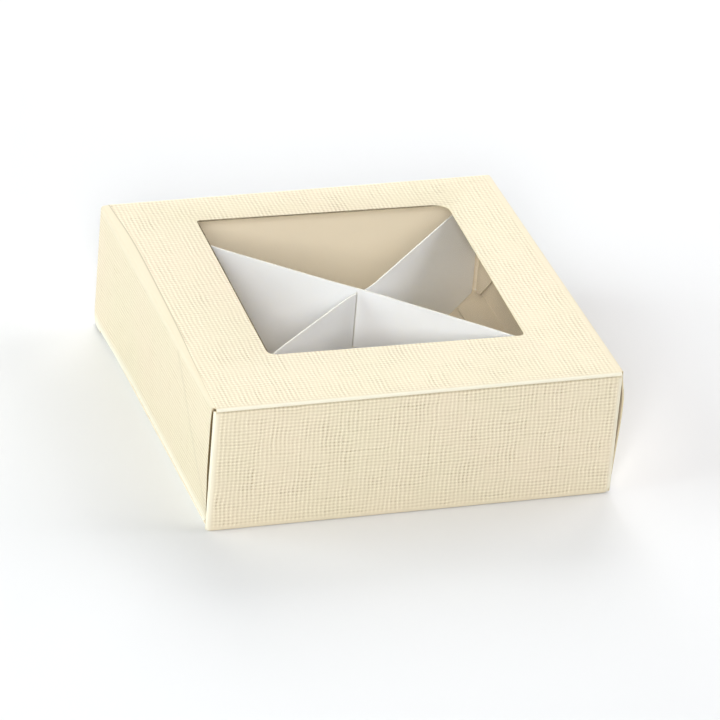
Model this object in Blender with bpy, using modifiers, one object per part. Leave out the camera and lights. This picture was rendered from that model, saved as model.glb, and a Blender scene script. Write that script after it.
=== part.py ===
# Square folding carton with a film window and a crossed card divider.
# Metres, +Z up. The origin is on the table, under the middle of the box.
# The left end closes at -X, the front wall is at -Y.

import math

import bmesh
import bpy
from mathutils import Matrix, Vector

# Driving dimensions of the closed carton, outside.
box_width = 0.120
box_depth = 0.120
box_height = 0.0395
card = 0.0005

# Clearances.
crease_gap = 0.0003
seat_gap = 0.0003
lap_gap = 0.0003

# Window in the top panel, and the film glued under it.
window_width = 0.077
window_depth = 0.0785
window_shift_right = 0.0027
window_shift_back = 0.0052
window_corner_radius = 0.004
film_thickness = 0.0002
film_margin = 0.007
film_corner_radius = 0.002

# Walls, floor and glue flap.
wall_corner_radius = 0.003
glue_flap_height = 0.012
glue_flap_end_setback = 0.002
glue_flap_taper = 0.004

# End closures and the tongues that tuck in under the divider's heels.
closure_side_inset = 0.0018
closure_corner_radius = 0.0045
tongue_length = 0.010
tongue_lift = math.radians(13.5)
tongue_side_inset = 0.0055
tongue_corner_radius = 0.006

# Dust flaps, cut off at a slant below.
dust_flap_length = 0.037
dust_flap_root = 0.0022
dust_flap_foot_clearance = 0.0022
dust_flap_corner_radius = 0.001

# Divider strips, lapped where they cross. Each is a little long for its diagonal, so its arms bow.
strip_card = 0.0005
strip_corner_gap = 0.0035
lap_ride = 0.0012
heel_clearance = 0.0004

# Where the strips cross, and where each one bows at its left and right, in half widths and half depths.
crossing_shares = (0.020, 0.017)
upper_bow_shares = ((-0.550, 0.520), (0.600, -0.530))
lower_bow_shares = ((-0.556, -0.473), (0.720, 0.703))

# Points on a quarter round.
arc_steps = 6

# Colours, roughness and metallic value of each material.
ivory_card_color = (0.90, 0.84, 0.69, 1.0)
plain_card_color = (0.86, 0.78, 0.62, 1.0)
white_card_color = (0.88, 0.88, 0.86, 1.0)
film_color = (0.95, 0.97, 0.98, 0.2)
card_roughness = 0.75
white_card_roughness = 0.6
film_roughness = 0.05

# Levels and faces that several pieces share.
half_width = box_width / 2
half_depth = box_depth / 2
over_floor = card + seat_gap
wall_top = box_height - card - crease_gap
film_top = box_height - card - seat_gap
film_bottom = film_top - film_thickness
clear_top = film_bottom - seat_gap
tongue_reach = tongue_length * math.cos(tongue_lift)
tongue_tip_top = over_floor + tongue_length * math.sin(tongue_lift) + card * math.cos(tongue_lift)
inner_half_depth = half_depth - card - crease_gap
flap_face = half_width - card - seat_gap


def remove_everything():
    for item in list(bpy.data.objects):
        bpy.data.objects.remove(item, do_unlink=True)


def new_collection(name):
    collection = bpy.data.collections.new(name)
    bpy.context.scene.collection.children.link(collection)
    return collection


def new_material(name, color, roughness, metallic=0.0):
    material = bpy.data.materials.new(name)
    material.use_nodes = True
    material.diffuse_color = color
    shader = material.node_tree.nodes["Principled BSDF"]
    shader.inputs["Base Color"].default_value = color
    shader.inputs["Roughness"].default_value = roughness
    shader.inputs["Metallic"].default_value = metallic
    shader.inputs["Alpha"].default_value = color[3]
    return material


def rounded_outline(corners):
    """Points of a counter-clockwise outline; each corner is (u, v, radius), and a radius of 0 is sharp."""
    points = []
    count = len(corners)
    for index, (u, v, radius) in enumerate(corners):
        if radius == 0:
            points.append((u, v))
            continue
        before = corners[index - 1]
        after = corners[(index + 1) % count]
        to_before = math.atan2(before[1] - v, before[0] - u)
        to_after = math.atan2(after[1] - v, after[0] - u)
        opening = (to_before - to_after) % math.tau
        reach = radius / math.sin(opening / 2)
        middle = to_after + opening / 2
        centre_u = u + reach * math.cos(middle)
        centre_v = v + reach * math.sin(middle)
        turn = math.pi - opening
        first = middle + math.pi - turn / 2
        for step in range(arc_steps + 1):
            angle = first + turn * step / arc_steps
            points.append((centre_u + radius * math.cos(angle), centre_v + radius * math.sin(angle)))
    return points


def rectangle(low_u, low_v, high_u, high_v, radius=0.0):
    corners = [(low_u, low_v, radius), (high_u, low_v, radius), (high_u, high_v, radius), (low_u, high_v, radius)]
    return rounded_outline(corners)


def sheet(name, outlines, thickness, material, collection):
    """A flat piece, centred on its own XY plane; outlines after the first are holes."""
    curve = bpy.data.curves.new(name, "CURVE")
    curve.dimensions = "2D"
    curve.fill_mode = "BOTH"
    curve.extrude = thickness / 2
    for outline in outlines:
        spline = curve.splines.new("POLY")
        spline.points.add(len(outline) - 1)
        for point, (u, v) in zip(spline.points, outline):
            point.co = (u, v, 0, 1)
        spline.use_cyclic_u = True
    piece = bpy.data.objects.new(name, curve)
    curve.materials.append(material)
    collection.objects.link(piece)
    return piece


def lay_flat(piece, z):
    piece.location = (0, 0, z)


def stand_across(piece, y):
    """Stands a sheet facing front: its own X stays X and its own Y points up."""
    piece.location = (0, y, 0)
    piece.rotation_euler = (math.radians(90), 0, 0)


def stand_along(piece, x):
    """Stands a sheet facing sideways: its own X becomes Y and its own Y points up."""
    piece.location = (x, 0, 0)
    piece.rotation_euler = (math.radians(90), 0, math.radians(90))


def hinge_empty(name, location, collection, parent=None):
    """An empty on a joint's axis; the location is in world coordinates."""
    empty = bpy.data.objects.new(name, None)
    empty.empty_display_size = tongue_length
    collection.objects.link(empty)
    if parent is not None:
        empty.parent = parent
        location = [value - base for value, base in zip(location, parent.location)]
    empty.location = location
    return empty


def hang_on(piece, empty, empty_place):
    """Parents a piece that is already placed in world coordinates to an unturned empty."""
    piece.parent = empty
    piece.location = [value - base for value, base in zip(piece.location, empty_place)]


def window_outline(margin, radius):
    low_u = window_shift_right - window_width / 2 - margin
    low_v = window_shift_back - window_depth / 2 - margin
    return rectangle(low_u, low_v, low_u + window_width + 2 * margin, low_v + window_depth + 2 * margin, radius)


def make_top_panel(material, collection):
    outer = rectangle(-half_width, -half_depth, half_width, half_depth)
    window = window_outline(0, window_corner_radius)
    lay_flat(sheet("top_panel", [outer, window], card, material, collection), box_height - card / 2)


def make_window_film(material, collection):
    outline = window_outline(film_margin, film_corner_radius)
    lay_flat(sheet("window_film", [outline], film_thickness, material, collection), film_top - film_thickness / 2)


def make_bottom_panel(material, collection):
    outline = rectangle(-flap_face, -inner_half_depth, flap_face, half_depth)
    lay_flat(sheet("bottom_panel", [outline], card, material, collection), card / 2)


def make_front_wall(material, collection):
    corners = [
        (-flap_face, 0, wall_corner_radius),
        (flap_face, 0, wall_corner_radius),
        (flap_face, wall_top, 0),
        (-flap_face, wall_top, 0),
    ]
    piece = sheet("front_wall", [rounded_outline(corners)], card, material, collection)
    stand_across(piece, -half_depth + card / 2)


def make_back_wall(material, collection):
    outline = rectangle(-flap_face, card + crease_gap, flap_face, wall_top)
    stand_across(sheet("back_wall", [outline], card, material, collection), half_depth - card / 2)


def make_glue_flap(material, collection):
    """Rises from the floor's front edge, glued inside the front wall, with slanted ends."""
    reach = flap_face - glue_flap_end_setback
    low = card + crease_gap
    high = low + glue_flap_height
    outline = [(-reach, low), (reach, low), (reach - glue_flap_taper, high), (glue_flap_taper - reach, high)]
    piece = sheet("glue_flap", [outline], card, material, collection)
    stand_across(piece, -inner_half_depth + card / 2)


def make_closure(side_name, side, material, collection):
    """The end panel, hung from the top panel's outer edge; side is -1 at the left and 1 at the right."""
    reach = half_depth - closure_side_inset
    corners = [
        (-reach, over_floor, closure_corner_radius),
        (reach, over_floor, closure_corner_radius),
        (reach, wall_top, 0),
        (-reach, wall_top, 0),
    ]
    axis_place = (side * half_width, 0, box_height)
    hinge = hinge_empty(side_name + "_closure_hinge", axis_place, collection)
    piece = sheet(side_name + "_closure", [rounded_outline(corners)], card, material, collection)
    stand_along(piece, side * (half_width - card / 2))
    hang_on(piece, hinge, axis_place)
    return hinge


def make_tongue(side_name, side, closure_hinge, material, collection):
    """The tuck tongue, folded in from the closure's lower edge, its tip a little above the floor."""
    reach = half_depth - closure_side_inset - tongue_side_inset
    root = -side * (card + crease_gap + card * math.sin(tongue_lift))
    tip = -side * tongue_length
    corners = [
        (root, side * reach, 0),
        (tip, side * reach, tongue_corner_radius),
        (tip, -side * reach, tongue_corner_radius),
        (root, -side * reach, 0),
    ]
    axis_place = (side * half_width, 0, over_floor)
    fold = hinge_empty(side_name + "_tongue_fold", axis_place, collection, closure_hinge)
    piece = sheet(side_name + "_tongue", [rounded_outline(corners)], card, material, collection)
    tilt = side * tongue_lift
    piece.parent = fold
    piece.rotation_euler = (0, tilt, 0)
    piece.location = (math.sin(tilt) * card / 2, 0, math.cos(tilt) * card / 2)


def make_dust_flap(name, side, end, material, collection):
    """Folded in from the end of the front (end -1) or back (end 1) wall, behind the closure."""
    foot = over_floor + card + dust_flap_foot_clearance
    root = end * inner_half_depth
    shape = [
        (root, clear_top, 0),
        (root, foot, 0),
        (root - end * dust_flap_root, foot, 0),
        (root - end * dust_flap_length, clear_top, dust_flap_corner_radius),
    ]
    if end > 0:
        shape.reverse()
    axis_place = (side * (flap_face - card / 2), root, 0)
    hinge = hinge_empty(name + "_hinge", axis_place, collection)
    piece = sheet(name, [rounded_outline(shape)], card, material, collection)
    stand_along(piece, side * (flap_face - card / 2))
    hang_on(piece, hinge, axis_place)


def bent_sheet(name, outline, bends, thickness, material, collection):
    """A sheet centred on its own XY plane, then bent about lines along its own Y; each bend is (u, turn)."""
    bm = bmesh.new()
    bm.faces.new([bm.verts.new((u, v, 0)) for u, v in outline])
    for place, turn in reversed(bends):
        line = Vector((place, 0, 0))
        everything = bm.verts[:] + bm.edges[:] + bm.faces[:]
        bmesh.ops.bisect_plane(bm, geom=everything, plane_co=line, plane_no=Vector((1, 0, 0)))
        beyond = [vert for vert in bm.verts if vert.co.x > place]
        bmesh.ops.rotate(bm, verts=beyond, cent=line, matrix=Matrix.Rotation(turn, 3, "Y"))
    mesh = bpy.data.meshes.new(name)
    bm.to_mesh(mesh)
    bm.free()
    mesh.materials.append(material)
    piece = bpy.data.objects.new(name, mesh)
    collection.objects.link(piece)
    shell = piece.modifiers.new("card", "SOLIDIFY")
    shell.thickness = thickness
    shell.offset = 0
    shell.use_even_offset = True
    return piece


def strip_route(rise, bow_shares):
    """Plan points of a strip from its left end to its right end; rise is 1 where it runs to the back."""
    corner = Vector((half_width - strip_corner_gap, rise * (half_depth - strip_corner_gap)))
    shares = (bow_shares[0], crossing_shares, bow_shares[1])
    return [-corner] + [Vector((across * half_width, back * half_depth)) for across, back in shares] + [corner]


def heel_length(end, bow):
    """How much of a strip's lower edge is cut away at its end, where the tongue lies."""
    tongue_edge = half_width - tongue_reach - heel_clearance - strip_card
    return (abs(end.x) - tongue_edge) * (bow - end).length / abs(bow.x - end.x)


def strip_outline(route, reached, height, slot_depth, slot_in_top):
    """A divider strip seen flat from its side, left end at u = 0 and lower edge at v = 0."""
    length = reached[-1]
    middle = reached[len(reached) // 2]
    left_heel = heel_length(route[0], route[1])
    right_heel = heel_length(route[-1], route[-2])
    heel_roof = tongue_tip_top + heel_clearance - over_floor
    slot_left = middle - strip_card / 2 - lap_gap
    slot_right = middle + strip_card / 2 + lap_gap
    lower = [(0, heel_roof), (left_heel, heel_roof), (left_heel, 0)]
    upper = [(length, height), (0, height)]
    if slot_in_top:
        slot_floor = height - slot_depth
        upper[1:1] = [(slot_right, height), (slot_right, slot_floor), (slot_left, slot_floor), (slot_left, height)]
    else:
        lower += [(slot_left, 0), (slot_left, slot_depth), (slot_right, slot_depth), (slot_right, 0)]
    lower += [(length - right_heel, 0), (length - right_heel, heel_roof), (length, heel_roof)]
    return lower + upper


def make_strip(name, route, low, height, slot_depth, slot_in_top, material, collection):
    """Stands a strip along its route, bent at each point between its ends."""
    runs = [after - before for before, after in zip(route, route[1:])]
    headings = [math.atan2(run.y, run.x) for run in runs]
    reached = [0]
    for run in runs:
        reached.append(reached[-1] + run.length)
    turns = [after - before for before, after in zip(headings, headings[1:])]
    outline = strip_outline(route, reached, height, slot_depth, slot_in_top)
    piece = bent_sheet(name, outline, list(zip(reached[1:], turns)), strip_card, material, collection)
    piece.location = (route[0].x, route[0].y, low)
    piece.rotation_euler = (math.radians(90), 0, headings[0])


def make_divider(material, collection):
    """Two strips from corner to corner; the slots are cut short, so the upper strip rides a little high."""
    height = clear_top - over_floor - lap_ride
    slot_depth = (height - lap_ride + lap_gap) / 2
    strips = (
        ("divider_strip_upper", strip_route(-1, upper_bow_shares), over_floor + lap_ride, False),
        ("divider_strip_lower", strip_route(1, lower_bow_shares), over_floor, True),
    )
    for name, route, low, slot_in_top in strips:
        make_strip(name, route, low, height, slot_depth, slot_in_top, material, collection)


def build():
    remove_everything()
    parts = new_collection("divided_box")
    ivory = new_material("ivory_card", ivory_card_color, card_roughness)
    plain = new_material("plain_card", plain_card_color, card_roughness)
    white = new_material("white_card", white_card_color, white_card_roughness)
    clear = new_material("clear_film", film_color, film_roughness)
    make_top_panel(ivory, parts)
    make_front_wall(ivory, parts)
    make_back_wall(ivory, parts)
    make_bottom_panel(ivory, parts)
    make_glue_flap(plain, parts)
    make_window_film(clear, parts)
    for side_name, side in (("left", -1), ("right", 1)):
        hinge = make_closure(side_name, side, ivory, parts)
        make_tongue(side_name, side, hinge, ivory, parts)
        for end_name, end in (("front", -1), ("back", 1)):
            make_dust_flap(end_name + "_" + side_name + "_dust_flap", side, end, plain, parts)
    make_divider(white, parts)


build()
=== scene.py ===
import math

import bmesh
import bpy
from mathutils import Matrix, Vector


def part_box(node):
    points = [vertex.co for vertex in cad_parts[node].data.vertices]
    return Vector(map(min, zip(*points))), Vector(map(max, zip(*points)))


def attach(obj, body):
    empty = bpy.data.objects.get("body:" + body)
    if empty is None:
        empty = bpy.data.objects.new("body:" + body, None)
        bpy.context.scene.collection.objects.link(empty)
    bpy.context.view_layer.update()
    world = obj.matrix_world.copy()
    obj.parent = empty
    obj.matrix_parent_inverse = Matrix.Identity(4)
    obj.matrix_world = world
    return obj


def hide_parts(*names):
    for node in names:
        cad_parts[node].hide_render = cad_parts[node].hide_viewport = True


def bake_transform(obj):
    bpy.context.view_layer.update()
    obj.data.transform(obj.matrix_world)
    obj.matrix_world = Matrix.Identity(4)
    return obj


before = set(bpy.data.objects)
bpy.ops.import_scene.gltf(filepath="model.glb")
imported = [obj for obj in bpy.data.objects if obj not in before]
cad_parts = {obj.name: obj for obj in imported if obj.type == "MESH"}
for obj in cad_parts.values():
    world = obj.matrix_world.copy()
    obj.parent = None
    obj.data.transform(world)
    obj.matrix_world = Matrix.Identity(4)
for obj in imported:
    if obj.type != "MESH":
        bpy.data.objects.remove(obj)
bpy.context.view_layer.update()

# The closed carton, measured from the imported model.
high_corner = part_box("top_panel")[1]
half_width = high_corner.x
half_depth = high_corner.y
lid_top = high_corner.z
film_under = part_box("window_film")[0].z

# Card and its folds. A wall starts in the groove under the lid's fold and leans out of it.
card = 0.0004
groove_depth = 0.00028
groove_height = 0.0008
fold_steps = 6
wall_set_back = 0.0002
wall_face = half_depth - wall_set_back
fold_overhang = 0.0001
lid_fold = [(0.00115, math.radians(22)), (0.00101, math.radians(128))]
lid_fold_reach = 0.001405
lid_flat_half_depth = half_depth + fold_overhang - lid_fold_reach
wall_head_drop = 0.0010
wall_head = lid_top - wall_head_drop
foot_fold_radius = 0.0007
side_fold_inset = 0.0007
side_fold_start = half_width - side_fold_inset
blank_fold_length = 0.0022
end_round = 0.0022
end_lean = 0.0003

# The soft fold between the lid and an end: its length on the flat card. Then the heights of the end's fold to
# the tongue and of its lowest edge.
soft_fold_length = 0.010
end_foot = 0.0013
end_low = 0.0007

# Smallest turn that counts as a bend, tolerance of a score line, steps of a round corner, and the angle from
# which a cut edge stays crisp.
least_turn = 1e-6
score_tolerance = 1e-7
corner_steps = 6
crisp_angle = math.radians(40)


def unit_step(low, high, value):
    """0 below low, 1 above high, and a soft rise between them."""
    share = min(max((value - low) / (high - low), 0.0), 1.0)
    return share * share * (3 - 2 * share)


def read_table(table, value):
    """Straight-line reading of a table of (place, amount) in rising order."""
    if value <= table[0][0]:
        return table[0][1]
    for (low, first), (high, second) in zip(table, table[1:]):
        if value <= high:
            return first + (second - first) * (value - low) / (high - low)
    return table[-1][1]


def read_soft(table, value, reach):
    """The same reading, averaged over a stretch, so that it has no corners."""
    return sum(read_table(table, value + reach * share) for share in (-1, -0.5, 0, 0.5, 1)) / 5


def along(profile, distance, angle=0.0):
    """(out, down) reached after a distance along a profile of (length, turn) pieces.

    The angle is the slope at which the profile starts."""
    out = down = 0.0
    for length, turn in profile:
        step = min(max(distance, 0.0), length)
        distance -= step
        if abs(turn) < least_turn:
            out += step * math.cos(angle)
            down += step * math.sin(angle)
            continue
        radius = length / turn
        after = angle + turn * step / length
        out += radius * (math.sin(after) - math.sin(angle))
        down += radius * (math.cos(angle) - math.cos(after))
        angle = after
    return out, down


def length_of(profile):
    """Length of a profile of (length, turn) pieces."""
    return sum(length for length, turn in profile)


def stations(profile, start, side):
    """Score lines across every piece of a profile that begins at start and runs to one side."""
    places = []
    reached = 0.0
    for length, turn in profile:
        count = fold_steps if abs(turn) > least_turn else 1
        places += [start + side * (reached + length * step / count) for step in range(count + 1)]
        reached += length
    return places


def spaced(low, high, count):
    """Evenly spaced places from low to high, both included."""
    return [low + (high - low) * step / count for step in range(count + 1)]


# Flat card work: outlines, score lines, folding.


def cut_outline(bm, corners):
    """A flat face from corners of (u, v, radius)."""
    verts = [bm.verts.new((u, v, 0)) for u, v, radius in corners]
    bm.faces.new(verts)
    for vert, (u, v, radius) in zip(verts, corners):
        if radius > 0:
            bmesh.ops.bevel(
                bm,
                geom=[vert],
                offset=radius,
                segments=corner_steps,
                profile=0.5,
                affect="VERTICES",
                material=-1,
            )


def score_across(bm, place, axis):
    """One score line through all of the flat card, at a place and across an axis."""
    geometry = bm.verts[:] + bm.edges[:] + bm.faces[:]
    bmesh.ops.bisect_plane(bm, geom=geometry, dist=score_tolerance, plane_co=place, plane_no=axis)


def score(bm, u_places=(), v_places=()):
    """Score lines at places along u and along v."""
    for axis, places in ((Vector((1, 0, 0)), u_places), (Vector((0, 1, 0)), v_places)):
        for place in places:
            score_across(bm, axis * place, axis)


def nothing(u, v):
    return 0.0


def everything(u, v):
    return 1.0


def same_place(u, v):
    return (u, v)


def fold_card(bm, place, blank_place, outward, linen_at=everything, painted_light_at=nothing):
    """Lays each point of the flat card at its folded place; the flat place stays with it for the pattern.

    The painted light value is 1 where painted shade darkens a groove, score line, slit or slot, and below 0
    where a painted highlight lightens a bead, fold or foot."""
    blank = bm.verts.layers.float_vector.new("blank")
    linen = bm.verts.layers.float.new("linen")
    painted_light = bm.verts.layers.float.new("painted_light")
    for vert in bm.verts:
        u, v, sunk = vert.co
        vert[blank] = Vector(blank_place(u, v)).to_3d()
        vert[linen] = linen_at(u, v)
        vert[painted_light] = painted_light_at(u, v)
        vert.co = Vector(place(u, v)) + Vector((0, 0, sunk))
    bm.normal_update()
    largest = max(bm.faces, key=lambda face: face.calc_area())
    if largest.normal.dot(Vector(outward)) < 0:
        bmesh.ops.reverse_faces(bm, faces=bm.faces[:])


def finish_card(name, bm, materials, thickness=card, offset=-1.0):
    """Gives the sheet its thickness, with its own face, back and cut edge, and crisp cut edges."""
    sheet = bpy.data.meshes.new(name + "_sheet")
    bm.to_mesh(sheet)
    bm.free()
    piece = bpy.data.objects.new(name, sheet)
    bpy.context.scene.collection.objects.link(piece)
    for material in materials:
        sheet.materials.append(material)
    shell = piece.modifiers.new("card", "SOLIDIFY")
    shell.thickness = thickness
    shell.offset = offset
    shell.use_even_offset = True
    shell.thickness_clamp = 0
    shell.material_offset = 1
    shell.material_offset_rim = 2
    bpy.context.view_layer.update()
    solid = bpy.data.meshes.new_from_object(piece.evaluated_get(bpy.context.evaluated_depsgraph_get()))
    piece.modifiers.clear()
    piece.data = solid
    solid.name = name
    bpy.data.meshes.remove(sheet)
    bm = bmesh.new()
    bm.from_mesh(solid)
    for face in bm.faces:
        face.smooth = True
    for edge in bm.edges:
        edge.smooth = edge.calc_face_angle(0.0) < crisp_angle
    bm.to_mesh(solid)
    bm.free()
    return piece


# Materials.


def math_node(tree, operation, first, second=None, third=None, clamp=False):
    """A Math node's result, from numbers or sockets."""
    node = tree.nodes.new("ShaderNodeMath")
    node.operation = operation
    node.use_clamp = clamp
    for index, value in enumerate((first, second, third)):
        if value is None:
            continue
        if isinstance(value, (int, float)):
            node.inputs[index].default_value = value
        else:
            tree.links.new(value, node.inputs[index])
    return node.outputs[0]


def mix_color(tree, amount, first, second):
    """The first colour where the amount is 0, the second where it is 1."""
    node = tree.nodes.new("ShaderNodeMix")
    node.data_type = "RGBA"
    for socket, value in ((node.inputs[0], amount), (node.inputs[6], first), (node.inputs[7], second)):
        if isinstance(value, (int, float, tuple)):
            socket.default_value = value
        else:
            tree.links.new(value, socket)
    return node.outputs[2]


def noise(tree, vector, scale, detail=2.0, roughness=0.5):
    node = tree.nodes.new("ShaderNodeTexNoise")
    node.noise_dimensions = "3D"
    node.inputs["Scale"].default_value = scale
    node.inputs["Detail"].default_value = detail
    node.inputs["Roughness"].default_value = roughness
    tree.links.new(vector, node.inputs["Vector"])
    return node.outputs["Fac"]


def stretched(tree, vector, scale):
    node = tree.nodes.new("ShaderNodeMapping")
    node.inputs["Scale"].default_value = scale
    tree.links.new(vector, node.inputs["Vector"])
    return node.outputs["Vector"]


def shifted(tree, vector, amount):
    node = tree.nodes.new("ShaderNodeMapping")
    node.inputs["Location"].default_value = (amount, amount, 0)
    tree.links.new(vector, node.inputs["Vector"])
    return node.outputs["Vector"]


def srgb(red, green, blue):
    """A colour written in display values, as the shader takes it."""
    values = []
    for value in (red, green, blue):
        share = value / 255
        values.append(share / 12.92 if share <= 0.04045 else ((share + 0.055) / 1.055) ** 2.4)
    return (*values, 1.0)


# Distance between the pressed threads, across and along the sheet.
column_pitch = 0.00122
row_pitch = 0.00106

# The two sets of threads: the axis they follow one another along, their pitch, how the noise is stretched
# along their lanes, and a shift that keeps one set's noise apart from the other's.
thread_sets = (
    ("X", column_pitch, (760.0, 60.0, 1.0), 0.31),
    ("Y", row_pitch, (60.0, 860.0, 1.0), 0.73),
)

# How much the threads sway and in how large patches they fade. A pair is a factor and what is added to it.
linen_noise_scale = 120.0
thread_sway = 7.0
patch_contrast = (3.2, -1.0)
patch_amount = (0.5, 0.45)
lane_amount = (1.9, -0.05)

# How strongly the threads show, and how much more they do where they cross.
thread_share = 0.46
crossing_share = 0.26


def make_linen_group():
    """A pressed linen grain: two sets of uneven threads that stand out in dots and pits where they cross."""
    group = bpy.data.node_groups.new("pressed_linen", "ShaderNodeTree")
    interface = group.interface
    interface.new_socket("Blank", in_out="INPUT", socket_type="NodeSocketVector")
    interface.new_socket("Linen", in_out="INPUT", socket_type="NodeSocketFloat")
    interface.new_socket("Weave", in_out="OUTPUT", socket_type="NodeSocketFloat")
    entry = group.nodes.new("NodeGroupInput")
    leave = group.nodes.new("NodeGroupOutput")
    split = group.nodes.new("ShaderNodeSeparateXYZ")
    group.links.new(entry.outputs["Blank"], split.inputs[0])
    threads = []
    for axis, pitch, lane, shift in thread_sets:
        own = shifted(group, entry.outputs["Blank"], shift)
        sway = math_node(group, "MULTIPLY", noise(group, own, linen_noise_scale, 3.0), thread_sway)
        phase = math_node(group, "MULTIPLY_ADD", split.outputs[axis], math.tau / pitch, sway)
        patches = noise(group, own, linen_noise_scale, 2.0, 0.6)
        patches = math_node(group, "MULTIPLY_ADD", patches, *patch_contrast, clamp=True)
        patches = math_node(group, "MULTIPLY_ADD", patches, *patch_amount)
        lanes = noise(group, stretched(group, own, lane), 1.0, 1.0)
        lanes = math_node(group, "MULTIPLY_ADD", lanes, *lane_amount)
        amount = math_node(group, "MULTIPLY", patches, lanes)
        threads.append(math_node(group, "MULTIPLY", math_node(group, "SINE", phase), amount))
    both = math_node(group, "ADD", *threads)
    squared = math_node(group, "MULTIPLY", both, both)
    crisp = math_node(group, "MULTIPLY_ADD", squared, crossing_share, thread_share)
    weave = math_node(group, "MULTIPLY", math_node(group, "MULTIPLY", both, crisp), entry.outputs["Linen"])
    group.links.new(weave, leave.inputs["Weave"])
    return group


def new_material(name):
    """A material with its node tree and its Principled shader."""
    material = bpy.data.materials.new(name)
    material.use_nodes = True
    shader = material.node_tree.nodes["Principled BSDF"]
    return material, material.node_tree, shader


def attribute(tree, name, output):
    node = tree.nodes.new("ShaderNodeAttribute")
    node.attribute_name = name
    return node.outputs[output]


def bump(tree, shader, height, distance):
    node = tree.nodes.new("ShaderNodeBump")
    node.inputs["Distance"].default_value = distance
    node.inputs["Strength"].default_value = 1.0
    tree.links.new(height, node.inputs["Height"])
    tree.links.new(node.outputs["Normal"], shader.inputs["Normal"])


# Colours of the linen card: its two ivories, the painted highlight and shade of its threads, painted shade in
# its grooves, score lines and slits, and painted highlight on its beads and folds.
green_ivory = srgb(225, 217, 187)
pink_ivory = srgb(233, 216, 192)
thread_highlight_color = srgb(250, 240, 215)
pit_shade_color = srgb(192, 174, 140)
linen_shade_color = srgb(150, 136, 100)
painted_highlight_color = srgb(246, 243, 226)

# How much of those colours the threads and the painted shade take, and how high the threads and fibres stand.
thread_highlight_share = 0.8
pit_shade_share = 0.45
painted_shade_share = 0.9
thread_height = 0.00006
fibre_height = 0.00002

# Clouds and fibres of plain board, and how much of each shows.
tint_scale = 30.0
cloud_scale = 60.0
cloud_share = 0.6
fibre_stretch = (1500.0, 4500.0, 1.0)
fibre_share = 0.4

# The film's haze, and its cover and roughness, each a factor and what is added to it.
haze_scale = 70.0
thin_haze = (0.20, 0.21, 0.21, 1)
thick_haze = (0.26, 0.26, 0.26, 1)
film_cover = (0.08, 0.012)
film_roughness = (0.06, 0.2)

# Painted shadow along the window's cut edge, at the left and the back: a factor and what is added to it,
# along X or Y.
edge_shadow_color = srgb(92, 76, 48)
pale_edge = srgb(232, 220, 190)
edge_shadow_at_left = (-250.0, -7.5)
edge_shadow_at_back = (300.0, -12.0)
edge_shadow_back_end = (-250.0, 10.0)
edge_shadow_back_share = 0.8
edge_shadow_scale = 500.0
edge_shadow_ragged = (1.2, 0.4)


def make_linen_card(linen_group):
    material, tree, shader = new_material("ivory_linen_card")
    blank = attribute(tree, "blank", "Vector")
    grain = tree.nodes.new("ShaderNodeGroup")
    grain.node_tree = linen_group
    tree.links.new(blank, grain.inputs["Blank"])
    tree.links.new(attribute(tree, "linen", "Fac"), grain.inputs["Linen"])
    weave = grain.outputs["Weave"]
    tint = noise(tree, blank, tint_scale)
    ivory = mix_color(tree, tint, green_ivory, pink_ivory)
    # Painted highlight on the raised threads and painted shade in the pits, beside the shading that the bump
    # gives.
    thread_highlight = math_node(tree, "MULTIPLY", weave, thread_highlight_share, clamp=True)
    pit_shade = math_node(tree, "MULTIPLY", weave, -pit_shade_share, clamp=True)
    color = mix_color(tree, thread_highlight, ivory, thread_highlight_color)
    color = mix_color(tree, pit_shade, color, pit_shade_color)
    # Painted shade where the painted light value is above 0, and a painted highlight where it is below 0.
    painted_light = attribute(tree, "painted_light", "Fac")
    painted_shade = math_node(tree, "MULTIPLY", painted_light, painted_shade_share, clamp=True)
    color = mix_color(tree, painted_shade, color, linen_shade_color)
    painted_highlight = math_node(tree, "MULTIPLY", painted_light, -1.0, clamp=True)
    color = mix_color(tree, painted_highlight, color, painted_highlight_color)
    tree.links.new(color, shader.inputs["Base Color"])
    tree.links.new(math_node(tree, "MULTIPLY_ADD", pit_shade, 0.15, 0.6), shader.inputs["Roughness"])
    shader.inputs["Specular IOR Level"].default_value = 0.3
    bump(tree, shader, weave, thread_height)
    return material


def make_plain_card(name, light, dark, roughness=0.8, shade_color=None, glow=0.0):
    """Uncoated board: faint fibres and clouds, painted shade where the painted light value is above 0, light
    through it.
    """
    material, tree, shader = new_material(name)
    blank = attribute(tree, "blank", "Vector")
    clouds = noise(tree, blank, cloud_scale, 3.0)
    fibres = noise(tree, stretched(tree, blank, fibre_stretch), 1.0)
    clouded = math_node(tree, "MULTIPLY", clouds, cloud_share)
    amount = math_node(tree, "MULTIPLY_ADD", fibres, fibre_share, clouded)
    color = mix_color(tree, amount, dark, light)
    if shade_color:
        # Painted shade: the shade colour where the painted light value is above 0.
        color = mix_color(tree, attribute(tree, "painted_light", "Fac"), color, shade_color)
    tree.links.new(color, shader.inputs["Base Color"])
    tree.links.new(math_node(tree, "MULTIPLY_ADD", fibres, 0.1, roughness - 0.05), shader.inputs["Roughness"])
    shader.inputs["Specular IOR Level"].default_value = 0.25
    bump(tree, shader, fibres, fibre_height)
    shader.inputs["Subsurface Weight"].default_value = glow
    shader.inputs["Subsurface Radius"].default_value = (1.0, 0.95, 0.85)
    shader.inputs["Subsurface Scale"].default_value = 0.001
    return material


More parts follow.
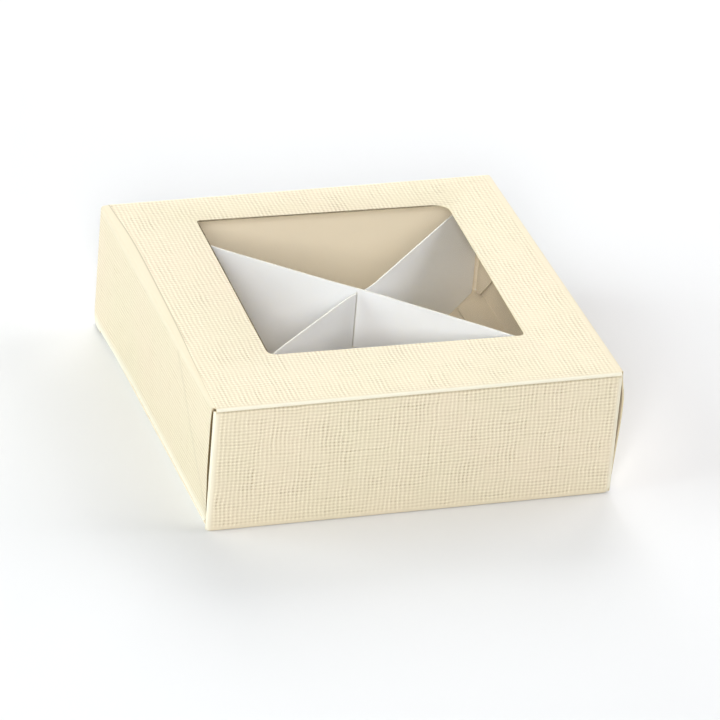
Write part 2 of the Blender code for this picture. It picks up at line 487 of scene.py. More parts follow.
def make_window_edge():
    """The window's rolled cut edge: pale, with a painted shadow along the left and the back."""
    material, tree, shader = new_material("window_cut_edge")
    blank = attribute(tree, "blank", "Vector")
    split = tree.nodes.new("ShaderNodeSeparateXYZ")
    tree.links.new(blank, split.inputs[0])
    left = math_node(tree, "MULTIPLY_ADD", split.outputs["X"], *edge_shadow_at_left, clamp=True)
    back = math_node(tree, "MULTIPLY_ADD", split.outputs["Y"], *edge_shadow_at_back, clamp=True)
    inward = math_node(tree, "MULTIPLY_ADD", split.outputs["X"], *edge_shadow_back_end, clamp=True)
    back = math_node(tree, "MULTIPLY", math_node(tree, "MULTIPLY", back, inward), edge_shadow_back_share)
    ragged = math_node(tree, "MULTIPLY_ADD", noise(tree, blank, edge_shadow_scale), *edge_shadow_ragged, clamp=True)
    # Painted shadow: a dark line along the left and the back of the window, ragged along its length.
    edge_shadow = math_node(tree, "MULTIPLY", math_node(tree, "MAXIMUM", left, back), ragged)
    color = mix_color(tree, edge_shadow, pale_edge, edge_shadow_color)
    tree.links.new(color, shader.inputs["Base Color"])
    shader.inputs["Roughness"].default_value = 0.85
    shader.inputs["Specular IOR Level"].default_value = 0.2
    return material


def make_film():
    """Clear film: almost nothing face on, and a faint haze and gloss toward a glancing view."""
    material, tree, shader = new_material("clear_window_film")
    coords = tree.nodes.new("ShaderNodeTexCoord").outputs["Object"]
    haze = noise(tree, coords, haze_scale)
    color = mix_color(tree, haze, thin_haze, thick_haze)
    tree.links.new(color, shader.inputs["Base Color"])
    facing = tree.nodes.new("ShaderNodeLayerWeight")
    facing.inputs["Blend"].default_value = 0.25
    alpha = math_node(tree, "MULTIPLY_ADD", facing.outputs["Fresnel"], *film_cover)
    tree.links.new(alpha, shader.inputs["Alpha"])
    tree.links.new(math_node(tree, "MULTIPLY_ADD", haze, *film_roughness), shader.inputs["Roughness"])
    shader.inputs["Specular IOR Level"].default_value = 0.12
    return material


linen_card = make_linen_card(make_linen_group())
inner_card = make_plain_card("plain_inner_card", srgb(252, 239, 213), srgb(249, 234, 206))
# The cut edge's shade colour is painted shade in the slits and grooves; the divider's is painted shade beside
# the strips' slot.
card_edge = make_plain_card("cut_card_edge", srgb(224, 210, 178), srgb(208, 192, 158), shade_color=srgb(112, 94, 62))
white_face = make_plain_card(
    "white_divider_card",
    srgb(250, 251, 253),
    srgb(247, 248, 250),
    roughness=0.6,
    shade_color=srgb(176, 172, 166),
    glow=0.5,
)
white_edge = make_plain_card("white_divider_edge", srgb(246, 243, 232), srgb(238, 234, 222), roughness=0.7)
window_edge = make_window_edge()
film_finish = make_film()
carton = (linen_card, inner_card, card_edge)
divider = (white_face, white_face, white_edge)


# The lid, its beaded front and back folds, and the window.

# The score line between the lid and the left end runs in over the lid, so that a smooth band lies between it
# and the rounded edge. The table gives how far in, along the depth.
crease_inset = [
    (-0.060, 0.0006), (-0.046, 0.0010), (-0.0325, 0.0017), (-0.0155, 0.0026), (0.002, 0.0031),
    (0.0195, 0.0035), (0.0375, 0.0037), (0.0486, 0.0032), (0.060, 0.0022),
]
inset_softness = 0.008
right_inset = 0.0008

# The edge's rounding, and how far the smooth band dips before it, as a share of the inset.
edge_round = 0.0011
edge_round_share = 0.8
band_dip_share = 0.07

# Score lines, and where the lid's linen and the painted highlight on its beads begin and end.
depth_steps = 24
depth_stations = spaced(-lid_flat_half_depth, lid_flat_half_depth, depth_steps)
lid_fold_scores = (0.0003, 0.0009, 0.0020)
lid_right_scores = (0.0025, 0.0012)
lid_linen_share = 0.9
lid_bead_fade = (-0.0009, -0.0001)
lid_right_fade = (0.0006, 0.0016)
bead_highlight_share = 0.7
bead_highlight_start = (0.0005, 0.0011)
bead_highlight_end = (0.0030, 0.0022)


def left_inset(y):
    return read_soft(crease_inset, y, inset_softness)


def band_dip(inset):
    """How far the smooth band has sunk where the edge's rounding starts."""
    return band_dip_share * inset


def edge_rounding(inset):
    """Radius of the rounded edge, which is smaller where the band is narrow."""
    return min(edge_round, edge_round_share * inset)


def edge_drop(inset):
    """How far below the lid the rounded edge ends."""
    return band_dip(inset) + edge_rounding(inset)


def lid_droop(y):
    """How far the lid's surface has dropped at the depth y, in its front and back folds."""
    beyond = abs(y) - lid_flat_half_depth
    if beyond <= 0:
        return 0.0
    length, turn = lid_fold[0]
    most_turn = 0.5
    return length / turn * (1 - math.cos(min(beyond * turn / length, most_turn)))


# The window's corners, counter-clockwise from the front left: place and radius. The die cut rolls the card
# down by the first value below, in a narrow band along each side, as wide as the other two.
window_corners = [
    (-0.03621, -0.03313, 0.0024),
    (0.03881, -0.03467, 0.0016),
    (0.04113, 0.04357, 0.0036),
    (-0.03461, 0.04569, 0.0008),
]
window_roll = 0.00018
left_roll = 0.00042
other_roll = 0.00022


def cut_window(bm):
    """Opens the window in the one face there is, with the rolled band round it."""
    outline = set(bm.verts)
    wider = []
    for u, v, radius in window_corners:
        corner = (u + math.copysign(other_roll, u), v + math.copysign(other_roll, v), radius + other_roll)
        wider.append(corner)
    cut_outline(bm, wider)
    bmesh.ops.delete(bm, geom=bm.faces[:], context="FACES_ONLY")
    bmesh.ops.triangle_fill(bm, edges=bm.edges[:], use_beauty=True)
    ring = [vert for vert in bm.verts if vert not in outline]
    ring_edges = [edge for edge in bm.edges if edge.is_boundary and edge.verts[0] in ring]
    window = bmesh.ops.contextual_create(bm, geom=ring_edges)["faces"]
    band = bmesh.ops.inset_individual(bm, faces=window, thickness=other_roll, use_even_offset=True)["faces"]
    for face in band:
        face.material_index = 3
    rim = window[0].verts[:]
    bmesh.ops.delete(bm, geom=window, context="FACES_ONLY")
    bmesh.ops.translate(bm, verts=rim, vec=(0, 0, -window_roll))
    left_ring = [vert for vert in ring if vert.co.x < 0]
    bmesh.ops.translate(bm, verts=left_ring, vec=(other_roll - left_roll, 0, 0))


def make_lid():
    """The top card with its window, rounded down at the front and back."""
    reach = lid_flat_half_depth + length_of(lid_fold)
    corners = [(half_width - right_inset, -reach, 0), (half_width - right_inset, reach, 0)]
    left_side = [(-half_width + left_inset(y), y, 0) for y in reversed(depth_stations)]
    corners += [(left_side[0][0], reach, 0)] + left_side + [(left_side[-1][0], -reach, 0)]
    bm = bmesh.new()
    cut_outline(bm, corners)
    cut_window(bm)
    places = []
    for side in (-1, 1):
        places += stations(lid_fold, side * lid_flat_half_depth, side)
        places += [side * (lid_flat_half_depth - step) for step in lid_fold_scores]
    score(bm, v_places=places)
    score(bm, u_places=[half_width - step for step in lid_right_scores])

    def place(u, v):
        side = 1 if v > 0 else -1
        out, down = along(lid_fold, abs(v) - lid_flat_half_depth)
        if abs(v) <= lid_flat_half_depth:
            return (u, v, lid_top)
        return (u, side * (lid_flat_half_depth + out), lid_top - down)

    def linen_at(u, v):
        fore = unit_step(*lid_bead_fade, lid_flat_half_depth - abs(v))
        right = unit_step(*lid_right_fade, half_width - right_inset - u)
        return lid_linen_share * fore * right

    def painted_light_at(u, v):
        # Painted highlight along the front and back beads.
        beyond = abs(v) - lid_flat_half_depth
        return -bead_highlight_share * unit_step(*bead_highlight_start, beyond) * unit_step(*bead_highlight_end, beyond)

    fold_card(bm, place, same_place, (0, 0, 1), linen_at, painted_light_at)
    piece = finish_card("lid_card", bm, (*carton, window_edge))
    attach(piece, "sleeve")
    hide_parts("top_panel")


make_lid()


# Front and back walls, with the fold under each.

# Radii of the lower corners, and the score lines: in from the ends, down the groove, and down the wall.
wall_left_radius = 0.0009
front_right_radius = 0.0028
back_right_radius = 0.002
wall_end_scores = (0.0003, 0.0006, 0.0010, 0.0014, 0.0018, 0.0022, 0.0026)
wall_steps = 12
groove_score_shares = (0.17, 0.33, 0.5, 0.67, 1.0, 1.4)
wall_height_scores = (0.006, 0.014, 0.022, 0.030)
wall_foot_scores = (0.0012, 0.0003)
wall_bow = 0.00025

# Margins without linen at the ends and the foot, painted shade in the groove under the lid, and a painted
# highlight on the rounded ends.
wall_left_margin = 0.0015
wall_right_margin = 0.0012
wall_foot_margin = 0.0010
groove_shade_share = 0.55
groove_shade_full = 0.3
wall_highlight_share = 0.5
wall_highlight_reach = 0.0012


def make_wall(name, node, side):
    """A wall that starts in the groove under the lid, rounds back at its ends and folds in at its foot."""
    foot_fold = [(foot_fold_radius * math.pi / 2, math.pi / 2)]
    reach = side_fold_start
    fold_at = wall_head - foot_fold_radius
    low = fold_at + length_of(foot_fold)
    right_radius = front_right_radius if side < 0 else back_right_radius
    corners = [(-reach, 0, 0), (reach, 0, 0), (reach, low, right_radius), (-reach, low, wall_left_radius)]
    bm = bmesh.new()
    cut_outline(bm, corners)
    ends = [reach - step for step in wall_end_scores]
    score(bm, u_places=[-place for place in ends] + ends + spaced(-reach, reach, wall_steps)[1:-1])
    score(bm, v_places=[groove_height * share for share in groove_score_shares])
    score(bm, v_places=list(wall_height_scores) + [fold_at - step for step in wall_foot_scores])
    score(bm, v_places=stations(foot_fold, fold_at, 1))

    def place(u, v):
        out, down = along(foot_fold, v - fold_at)
        bow = wall_bow * math.cos(u / reach * math.pi / 2) * math.sin(min(v / fold_at, 1) * math.pi)
        groove = groove_depth * unit_step(groove_height, 0.0, v)
        rounded = end_lean * (1 - min(max(reach - abs(u), 0) / end_round, 1)) ** 2
        return (u, side * (wall_face + bow - down - groove - rounded), wall_head - min(v, fold_at) - out)

    def linen_at(u, v):
        margin = wall_left_margin if u < 0 else wall_right_margin
        at_end = unit_step(margin / 2, margin, reach - abs(u))
        return at_end * unit_step(0.0, wall_foot_margin, fold_at - v)

    def painted_light_at(u, v):
        # Painted shade in the groove under the lid's bead, and a painted highlight on the rounded ends below
        # it.
        painted_shade = groove_shade_share * unit_step(groove_height, groove_height * groove_shade_full, v)
        painted_highlight = wall_highlight_share * unit_step(wall_highlight_reach, 0.0, reach - abs(u))
        return painted_shade - painted_highlight * unit_step(groove_height, wall_highlight_reach, v)

    def blank_place(u, v):
        return (u, side * (lid_flat_half_depth + blank_fold_length + v))

    fold_card(bm, place, blank_place, (0, side, 0), linen_at, painted_light_at)
    piece = finish_card(name, bm, carton)
    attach(piece, "sleeve")
    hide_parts(node)


make_wall("front_wall_card", "front_wall", -1)
make_wall("back_wall_card", "back_wall", 1)


# The base stops short of the ends, a little more at the left, where the end leans in.
base_left_gap = 0.0010
base_right_gap = 0.0003
base_corner = 0.001
base_steps = 8


def make_base():
    """The bottom card, between the folds at the walls' feet."""
    left = base_left_gap - half_width
    right = half_width - base_right_gap
    inset = wall_face - foot_fold_radius
    corners = [(left, -inset), (right, -inset), (right, inset), (left, inset)]
    bm = bmesh.new()
    cut_outline(bm, [(u, v, base_corner) for u, v in corners])
    across = spaced(left, right, base_steps)[1:-1]
    deep = spaced(-inset, inset, base_steps)[1:-1]
    score(bm, u_places=across, v_places=deep)

    def place(u, v):
        return (u, v, 0.0)

    def blank_place(u, v):
        return (u, v - 2 * half_depth)

    fold_card(bm, place, blank_place, (0, 0, -1))
    piece = finish_card("base_card", bm, (linen_card, inner_card, white_edge))
    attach(piece, "sleeve")
    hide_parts("bottom_panel")


make_base()


# The two ends, each hung from the lid by a soft fold, and their tuck tongues.

# How far an end reaches to the front and the back, its shoulder under the lid, and its low corners' radii.
left_end_front = 0.0574
right_end_front = 0.0582
end_back = 0.0596
shoulder_front = 0.0590
shoulder_height = 0.004
front_foot_radius = 0.0038
back_foot_radius = 0.0030
tongue_half_width = 0.0529
end_flat_height = 0.0290

# Share of the soft fold that the smooth band takes, before the rounding, and the score lines as such shares.
band_share = 0.6
fold_score_shares = (0.02, 0.05, 0.10, 0.16, 0.3, 0.45, 0.6, 0.66, 0.72, 0.78, 0.84, 0.9, 0.95, 1.0)
fold_margin = 0.0010
end_steps = 12
cross_score_half = 0.052
cross_score_steps = 26

# The slanted edge of the front left dust flap, which presses through the left end: a place on it, and the
# direction across it. Then the score lines beside it on the flat card.
flap_edge_y = -0.0225
flap_edge_z = 0.0385
flap_edge_back = 0.70
flap_edge_up = 0.715
flap_edge_scores = (-0.0012, -0.0005, 0.0005, 0.0012)
flap_edge_score_y = -0.0227
mean_edge_drop = 0.0013

# The right end bows out. A pair is where the bow starts and where it is full: down from the lid, up from the
# foot and toward the front.
bow_from_lid = (0.0395, 0.0290)
bow_from_foot = (-0.002, 0.028)
bow_to_front = (0.040, -0.050)
bow_least = 0.0003
bow_more = 0.0010

# The left end leans in at its foot and steps in behind the dust flap, and neither reaches its back edge.
foot_lean = 0.0006
lean_from = (0.022, 0.0)
flap_step = 0.0003
flap_step_across = (-0.001, 0.002)
flap_step_down = (0.0385, 0.030)
lean_from_back = (0.058, 0.020)

# Where an end has painted shade or a painted highlight, with how much, and where its linen starts.
end_linen_share = 0.8
end_linen_start = 0.95
score_shade_share = 0.6
score_shade_across = (0.0007, 0.0002)
fold_highlight_share = 0.12
fold_highlight_down = (0.6, 0.8)
slit_width = 0.0003
left_slit_shade = 1.0
right_slit_highlight = -0.6
flap_edge_shade_share = 0.14
flap_edge_shade_across = (0.0012, 0.0004)
foot_highlight_share = 0.8
foot_highlight_down = (0.0022, 0.0015)


def behind_flap(y, z):
    """How far a place on the left end lies behind the slanted edge of the dust flap under it."""
    return (y - flap_edge_y) * flap_edge_back - (z - flap_edge_z) * flap_edge_up


def end_swell(side, y, z):
    """How far an end stands out (+) or in (-) from the upright."""
    if side > 0:
        bow = unit_step(*bow_from_lid, z) * unit_step(*bow_from_foot, z)
        return bow * (bow_least + bow_more * unit_step(*bow_to_front, y))
    lean = -foot_lean * unit_step(*lean_from, z)
    step = -flap_step * unit_step(*flap_step_across, behind_flap(y, z)) * unit_step(*flap_step_down, z)
    return (lean + step) * unit_step(*lean_from_back, y)


def make_end(side_name, side):
    """An end with the rounded fold that hangs it from the lid; w runs down it from the lid's score line."""
    fold_w = soft_fold_length
    band_w = fold_w * band_share
    foot_w = fold_w + end_flat_height
    low_w = foot_w + end_foot - end_low
    front = left_end_front if side < 0 else right_end_front
    corners = [(0, -end_back, 0), (band_w, -shoulder_front, 0), (fold_w + shoulder_height, -front, 0)]
    corners += [(low_w, -front, front_foot_radius), (low_w, -tongue_half_width, 0)]
    corners += [(foot_w, -tongue_half_width, 0), (foot_w, tongue_half_width, 0)]
    corners += [(low_w, tongue_half_width, 0), (low_w, end_back, back_foot_radius)]
    corners += [(band_w, end_back, 0), (0, end_back, 0)]
    bm = bmesh.new()
    cut_outline(bm, corners)
    across = spaced(-cross_score_half, cross_score_half, cross_score_steps)
    score(bm, v_places=depth_stations + across + [slit_width - front])
    in_fold = [fold_w * share for share in fold_score_shares]
    score(bm, u_places=in_fold + spaced(fold_w, foot_w, end_steps)[1:])
    score(bm, u_places=[fold_w + fold_margin])

    def inset_at(y):
        return left_inset(y) if side < 0 else right_inset

    def height_at(w, y):
        share = (w - fold_w) / (foot_w - fold_w)
        return (lid_top - edge_drop(inset_at(y))) * (1 - share) + end_foot * share

    slant_w = flap_edge_up * (lid_top - mean_edge_drop - end_foot) / end_flat_height
    slant = Vector((slant_w, flap_edge_back, 0)).normalized()
    for step in flap_edge_scores if side < 0 else ():
        score_across(bm, Vector((fold_w, flap_edge_score_y, 0)) + slant * step, slant)

    def place(w, y):
        inset = inset_at(y)
        if w > fold_w:
            z = height_at(w, y)
            return (side * (half_width + end_swell(side, y, z)), y, z)
        share = w / fold_w
        rounding = edge_rounding(inset)
        band = min(share / band_share, 1)
        turned = max(share - band_share, 0) / (1 - band_share)
        across = inset + (rounding - inset) * band - rounding * (1 - (1 - turned) ** 2)
        z = lid_top - lid_droop(y) - band_dip(inset) * band - rounding * turned ** 2
        out = end_swell(side, y, z) * turned - across
        return (side * (half_width + out), y, z)

    def from_lid(w, y):
        """Distance from the lid's score line, along the card."""
        inset = inset_at(y)
        drop = edge_drop(inset)
        return (inset + drop) * min(w / fold_w, 1) + max(lid_top - drop - height_at(w, y), 0)

    def blank_place(w, y):
        return (side * (half_width - inset_at(y) + from_lid(w, y)), y)

    def linen_at(w, y):
        return end_linen_share * unit_step(fold_w * end_linen_start, fold_w + fold_margin, w)

    def painted_light_at(w, y):
        # Painted shade at the left end's score line, in its front slit and along the dust flap's edge;
        # painted highlight on the fold, the foot and the right end's front slit.
        if w <= fold_w:
            painted_shade = score_shade_share * unit_step(*score_shade_across, from_lid(w, y)) if side < 0 else 0.0
            return painted_shade - fold_highlight_share * unit_step(*fold_highlight_down, w / fold_w)
        height = height_at(w, y)
        painted_highlight = fold_highlight_share * unit_step(fold_w + fold_margin, fold_w, w)
        painted_highlight += foot_highlight_share * unit_step(*foot_highlight_down, height)
        slit = unit_step(slit_width, 0.0, front + y) * (left_slit_shade if side < 0 else right_slit_highlight)
        # Painted shade along the dust flap's slanted edge under the left end.
        flap_edge_shade = 0.0
        if side < 0:
            flap_edge_shade = flap_edge_shade_share * unit_step(*flap_edge_shade_across, abs(behind_flap(y, height)))
        return (slit if slit else flap_edge_shade) - painted_highlight

    fold_card(bm, place, blank_place, (side, 0, 0), linen_at, painted_light_at)
    piece = finish_card(side_name + "_end_card", bm, carton)
    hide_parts(side_name + "_closure")
    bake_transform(piece)


# A tongue: its height over the floor, side gap, length, round corners, score lines, linen and painted
# highlight on its fold.
tongue_clearance = 0.0006
tongue_side_gap = 0.0002
tongue_length = 0.0098
tongue_corner = 0.0055
tongue_scores = (0.0003, 0.003)
tongue_linen_share = 0.5
tongue_linen_from = (0.001, 0.002)
tongue_highlight_share = 0.9
tongue_highlight_reach = 0.001


def make_tongue(side_name, side):
    """A tuck tongue, folded in from the end's foot; w runs inward from there."""
    fold_radius = end_foot - tongue_clearance
    fold = [(fold_radius * math.pi / 2, math.pi / 2)]
    fold_length = length_of(fold)
    reach = tongue_half_width - tongue_side_gap
    length = fold_length + tongue_length
    corners = [(0, -reach, 0), (length, -reach, tongue_corner), (length, reach, tongue_corner), (0, reach, 0)]
    bm = bmesh.new()
    cut_outline(bm, corners)
    score(bm, u_places=stations(fold, 0, 1) + [fold_length + step for step in tongue_scores])
    score(bm, v_places=spaced(-cross_score_half, cross_score_half, cross_score_steps))

    def place(w, y):
        down, across = along(fold, w)
        across += max(w - fold_length, 0.0) - end_swell(side, y, end_foot)
        return (side * (half_width - across), y, end_foot - down)

    def blank_place(w, y):
        return (side * (half_width + lid_top - end_foot + w), y)

    def linen_at(w, y):
        return tongue_linen_share * unit_step(*tongue_linen_from, w)

    def painted_light_at(w, y):
        # Painted highlight along the tongue's fold.
        return -tongue_highlight_share * unit_step(fold_length + tongue_highlight_reach, fold_length, w)

    fold_card(bm, place, blank_place, (0, 0, -1), linen_at, painted_light_at)
    piece = finish_card(side_name + "_tongue_card", bm, carton)
    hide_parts(side_name + "_tongue")
    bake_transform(piece)


# The bead that a dust flap turns in on: a fold past the square, a straight piece, and a bend back.
bead_radius = 0.0007
bead_turn = math.radians(140)
bead_straight = 0.0007
bead_back_radius = 0.0006
bead_back_turn = math.radians(50)

# A dust flap: gaps to the lid and the film, length, foot, heel and tip, and the corners of its bead.
flap_head_gap = 0.0001
flap_film_gap = 0.0004
flap_length = 0.0365
flap_foot = 0.0008
flap_heel = 0.0024
flap_tip_cut = 0.0012
flap_corner = 0.0005
bead_foot = 0.0005
bead_foot_width = 0.0012
bead_head_width = 0.0010

# Score lines, painted shade in the slit beside the bead, a painted highlight on the bead, and how the right
# flaps lie nearer their end.
slit_steps = (-0.0016, -0.0011, 0.0010, 0.0016)
flap_fold_score = 0.0004
flap_low_score = 0.004
flap_steps = 8
flap_bead_highlight = 0.5
flap_bead_highlight_along = (0.0014, 0.0008)
right_flap_shift = 0.0005
right_flap_run = 0.010


def make_flap(name, side, end):
    """A dust flap and the upright fold that it turns in on from the front or back wall; w runs along it."""
    first_slope = 2 * end_lean / end_round
    bead = [
        (bead_radius * (bead_turn - first_slope), bead_turn - first_slope),
        (bead_straight, 0.0),
        (bead_back_radius * bead_back_turn, -bead_back_turn),
    ]
    bead_length = length_of(bead)
    head = wall_head - flap_head_gap
    clear = film_under - flap_film_gap
    corners = [
        (0, head, 0),
        (0, bead_foot, 0),
        (bead_foot_width, bead_foot, 0),
        (bead_length, flap_foot, 0),
        (bead_length + flap_heel, flap_foot, flap_corner),
        (bead_length + flap_length - flap_tip_cut, clear, flap_corner),
        (bead_length, clear, 0),
        (bead_head_width, head, 0),
    ]
    bm = bmesh.new()
    cut_outline(bm, corners)
    slit = [bead_length + step for step in slit_steps]
    score(bm, u_places=stations(bead, 0, 1) + slit + [bead_length + flap_fold_score])
    score(bm, v_places=spaced(flap_low_score, clear, flap_steps))

    def place(w, z):
        across, inward = along(bead, w, first_slope)
        inward += max(w - bead_length, 0.0)
        if side > 0:
            across += right_flap_shift * unit_step(bead_length, bead_length + right_flap_run, w)
        return (side * (side_fold_start + across), end * (wall_face - end_lean - inward), z)

    def blank_place(w, z):
        down = lid_flat_half_depth + blank_fold_length + wall_head - z
        return (side * (side_fold_start + w), end * down)

    def linen_at(w, z):
        return unit_step(slit[2], slit[3], w)

    def painted_light_at(w, z):
        # Painted shade in the slit beside the bead, and a painted highlight on the bead.
        painted_shade = unit_step(slit[0], slit[1], w) * unit_step(slit[3], slit[2], w)
        return painted_shade - flap_bead_highlight * unit_step(*flap_bead_highlight_along, w)

    fold_card(bm, place, blank_place, (side, 0, 0), linen_at, painted_light_at)
    piece = finish_card(name + "_card", bm, carton)
    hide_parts(name)
    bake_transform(piece)


for side_name, side in (("left", -1), ("right", 1)):
    make_end(side_name, side)
    make_tongue(side_name, side)
    for end_name, end in (("front", -1), ("back", 1)):
        make_flap(end_name + "_" + side_name + "_dust_flap", side, end)


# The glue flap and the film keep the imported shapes.


def dress_packed(node, material):
    """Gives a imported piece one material."""
    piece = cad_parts[node]
    piece.data.materials.clear()
    piece.data.materials.append(material)


def make_packed_card():
    """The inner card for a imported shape, which reads its place instead of a flat blank."""
    material = inner_card.copy()
    material.name = "glue_flap_card"
    tree = material.node_tree
    for node in list(tree.nodes):
        if node.bl_idname == "ShaderNodeAttribute":
            coords = tree.nodes.new("ShaderNodeTexCoord").outputs["Object"]
            for link in list(node.outputs["Vector"].links):
                tree.links.new(coords, link.to_socket)
            tree.nodes.remove(node)
    return material


dress_packed("glue_flap", make_packed_card())
dress_packed("window_film", film_finish)


# Divider strips.

strip_card = 0.0004

# Where the strips cross, the height at which their slots meet, and the play between the slots.
crossing = (0.0008, 0.0009)
strip_lap = 0.0193
lap_play = 0.0001

# Each strip: its foot and head, and how far its slot reaches to each side of the crossing.
upper_foot = 0.0024
upper_head = 0.0383
upper_slot = (0.0006, 0.0006)
lower_foot = 0.0012
lower_head = 0.0371
lower_slot = (0.0013, 0.0006)
strip_heel = 0.0006

# How a route's corners are cut: how often, and how far from the corner at most, as a share and as a length.
easing_rounds = 2
easing_share = 0.3
easing_reach = 0.003

# The painted shade beside the slot: its score lines, and where it begins and is full, from each side and the
# head.
slot_shade_score_step = 0.0001
slot_shade_score_count = 10
slot_shade_from_left = (-0.0010, -0.0007)
slot_shade_from_right = (-0.0001, -0.0004)
slot_shade_from_head = (0.0008, 0.0022)
strip_head_scores = (0.0022, 0.0015, 0.0008)


def eased(route):
    """The route with its corners cut off, a little way from each, so that the card bows there."""
    points = [Vector(point) for point in route]
    for turn in range(easing_rounds):
        inner = []
        for before, corner, after in zip(points, points[1:], points[2:]):
            for other in (before, after):
                run = other - corner
                inner.append(corner + run * min(easing_share, easing_reach / run.length))
        points = [points[0]] + inner + [points[-1]]
    return points


def make_strip(name, node, route, low, high, slot, slot_in_top):
    """A strip that stands along its route; slot is how far its slot reaches to each side of the crossing."""
    points = eased(route)
    lengths = [(second - first).length for first, second in zip(points, points[1:])]
    reached = [sum(lengths[:count]) for count in range(len(points))]
    total = reached[-1]
    nearest = min(range(len(points)), key=lambda index: (points[index] - Vector(crossing)).length)
    run = points[nearest + 1] - points[nearest - 1]
    middle = reached[nearest] + (Vector(crossing) - points[nearest]).dot(run) / run.length
    left, right = middle - slot[0], middle + slot[1]
    lap = strip_lap - lap_play if slot_in_top else strip_lap + lap_play
    lower = [(0, low + strip_heel, 0), (strip_heel, low, 0)]
    upper = [(total, high, 0), (0, high, 0)]
    if slot_in_top:
        upper[1:1] = [(right, high, 0), (right, lap, 0), (left, lap, 0), (left, high, 0)]
    else:
        lower += [(left, low, 0), (left, lap, 0), (right, lap, 0), (right, low, 0)]
    lower += [(total - strip_heel, low, 0), (total, low + strip_heel, 0)]
    bm = bmesh.new()
    cut_outline(bm, lower + upper)
    slot_shade_scores = [middle - count * slot_shade_score_step for count in range(1, slot_shade_score_count + 1)]
    score(bm, u_places=reached[1:-1] + slot_shade_scores)
    score(bm, v_places=[high - step for step in strip_head_scores])

    def painted_light_at(u, v):
        """Painted shade: a line along the slot's left side, on the upper strip, where the gap between the
        strips lies in shade.
        """
        if slot_in_top:
            return 0.0
        across = unit_step(*slot_shade_from_left, u - middle) * unit_step(*slot_shade_from_right, u - middle)
        return across * unit_step(high - slot_shade_from_head[0], high - slot_shade_from_head[1], v)

    def place(u, v):
        index = max(0, min(sum(u > distance for distance in reached) - 1, len(lengths) - 1))
        spot = points[index].lerp(points[index + 1], (u - reached[index]) / lengths[index])
        return (spot.x, spot.y, v)

    fold_card(bm, place, same_place, (0, 0, 0), painted_light_at=painted_light_at)
    piece = finish_card(name, bm, divider, thickness=strip_card, offset=0.0)
    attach(piece, "sleeve")
    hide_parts(node)


# The strips' routes from above, from corner to corner of the box.
strip_corner_inset = 0.0035
strip_corner = (half_width - strip_corner_inset, half_depth - strip_corner_inset)
upper_route = [
    (-strip_corner[0], strip_corner[1]),
    (-0.0330, 0.0312),
    (-0.0049, 0.0056),
    (0.0029, -0.0008),
    (0.0070, -0.0047),
    (0.0358, -0.0319),
    (strip_corner[0], -strip_corner[1]),
]
lower_route = [
    (-strip_corner[0], -strip_corner[1]),
    (-0.0334, -0.0284),
    (-0.0016, -0.0001),
    (0.0040, 0.0023),
    (0.0432, 0.0422),
    (strip_corner[0], strip_corner[1]),
]

strips = [
    ("upper_divider_card", "divider_strip_upper", upper_route, upper_foot, upper_head, upper_slot, False),
    ("lower_divider_card", "divider_strip_lower", lower_route, lower_foot, lower_head, lower_slot, True),
]
for strip in strips:
    make_strip(*strip)


# Floor, light and camera.

floor_radius = 4.0
floor_drop = 0.0001
floor_steps = 96

# The floor as light falls on it and as it is seen. It starts to turn plain white 0.4 m from the box's middle
# and is white at 0.8 m: a factor on the distance in metres, and what is added to it.
floor_lit = (0.77, 0.775, 0.785, 1)
floor_seen = (0.818, 0.818, 0.828, 1)
floor_whitening = (2.5, -1.0)

# Strength of the world as a light, and what is added to it where the world is seen.
world_glow = 0.015
world_seen = 0.985


def seen_rays(tree):
    """1 for rays from the camera, a gloss or a clear piece, and 0 for the rays that light things."""
    path = tree.nodes.new("ShaderNodeLightPath")
    seen = math_node(tree, "MAXIMUM", path.outputs["Is Camera Ray"], path.outputs["Is Glossy Ray"])
    return math_node(tree, "MAXIMUM", seen, path.outputs["Is Transmission Ray"])


def make_floor():
    """A pale floor that keeps the box's shadow and turns to plain white well away from it."""
    bm = bmesh.new()
    bmesh.ops.create_circle(bm, cap_ends=True, segments=floor_steps, radius=floor_radius)
    bmesh.ops.translate(bm, verts=bm.verts[:], vec=(0, 0, -floor_drop))
    mesh = bpy.data.meshes.new("studio_floor")
    bm.to_mesh(mesh)
    bm.free()
    floor = bpy.data.objects.new("studio_floor", mesh)
    bpy.context.scene.collection.objects.link(floor)
    material, tree, shader = new_material("studio_floor")
    shader.inputs["Roughness"].default_value = 0.9
    shader.inputs["Specular IOR Level"].default_value = 0.0
    seen = seen_rays(tree)
    color = mix_color(tree, seen, floor_lit, floor_seen)
    coords = tree.nodes.new("ShaderNodeTexCoord").outputs["Object"]
    away = tree.nodes.new("ShaderNodeVectorMath")
    away.operation = "LENGTH"
    tree.links.new(coords, away.inputs[0])
    far = math_node(tree, "MULTIPLY_ADD", away.outputs["Value"], *floor_whitening, clamp=True)
    far = math_node(tree, "MULTIPLY", far, seen)
    tree.links.new(mix_color(tree, far, color, (0, 0, 0, 1)), shader.inputs["Base Color"])
    shader.inputs["Emission Color"].default_value = (1, 1, 1, 1)
    tree.links.new(far, shader.inputs["Emission Strength"])
    mesh.materials.append(material)


def make_world():
    """A white world that is seen but hardly lights the box."""
    world = bpy.data.worlds.new("studio")
    bpy.context.scene.world = world
    world.use_nodes = True
    tree = world.node_tree
    background = tree.nodes["Background"]
    strength = math_node(tree, "MULTIPLY_ADD", seen_rays(tree), world_seen, world_glow)
    background.inputs["Color"].default_value = (1, 1, 1, 1)
    tree.links.new(strength, background.inputs["Strength"])


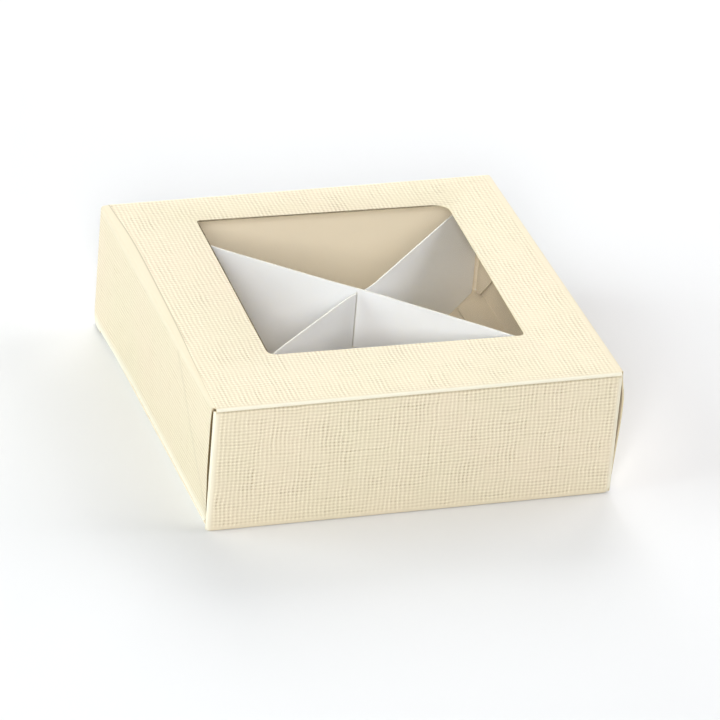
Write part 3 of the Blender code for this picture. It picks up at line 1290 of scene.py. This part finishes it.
# Soft lamps, all aimed at the box: name, place, size, power in watts and tint.
lamp_aim = (0, 0, 0.02)
lamps = [
    ("front_softbox", (-0.43, -1.09, 0.63), 0.4, 11.6, (1, 1, 1)),
    ("left_softbox", (-1.1, 0.1, 0.55), 0.9, 9.9, (0.97, 1.04, 1.03)),
    ("low_left_lamp", (-1.3, 0.0, 0.12), 0.2, 0.5, (0.97, 1.0, 1.02)),
    ("right_softbox", (0.9, 0.1, 0.7), 0.9, 7.2, (1, 1, 1)),
    ("back_softbox", (0.3, 0.9, 0.8), 0.7, 8.2, (1, 1, 1)),
    ("low_back_lamp", (0.1, 1.3, 0.25), 0.4, 2.8, (1, 1, 1)),
]


def add_lamp(name, place, size, power, tint):
    data = bpy.data.lights.new(name, "AREA")
    data.shape = "SQUARE"
    data.size = size
    data.energy = power
    data.color = tint
    lamp = bpy.data.objects.new(name, data)
    bpy.context.scene.collection.objects.link(lamp)
    lamp.location = place
    lamp.rotation_euler = (Vector(lamp_aim) - Vector(place)).to_track_quat("-Z", "Y").to_euler()


# The photograph's camera: its lens in millimetres, its place, and where its right, down and forward point.
sensor_width = 36.0
camera_lens = 279.339
camera_place = (-0.47313, -1.31727, 0.80947)
camera_right = (0.95162, -0.29762, 0.0764)
camera_down = (-0.08432, -0.49205, -0.86647)
camera_forward = (0.29547, 0.81811, -0.49335)


def make_camera():
    """The camera that sees the box as the photograph does."""
    data = bpy.data.cameras.new("camera")
    data.sensor_fit = "HORIZONTAL"
    data.sensor_width = sensor_width
    data.lens = camera_lens
    data.clip_start = 0.01
    data.clip_end = 100.0
    camera = bpy.data.objects.new("camera", data)
    bpy.context.scene.collection.objects.link(camera)
    turn = Matrix((Vector(camera_right), -Vector(camera_down), -Vector(camera_forward))).transposed()
    camera.matrix_world = Matrix.Translation(camera_place) @ turn.to_4x4()
    bpy.context.scene.camera = camera


make_floor()
make_world()
for name, place, size, power, tint in lamps:
    add_lamp(name, place, size, power, tint)
make_camera()
bpy.context.scene.view_settings.view_transform = "Standard"
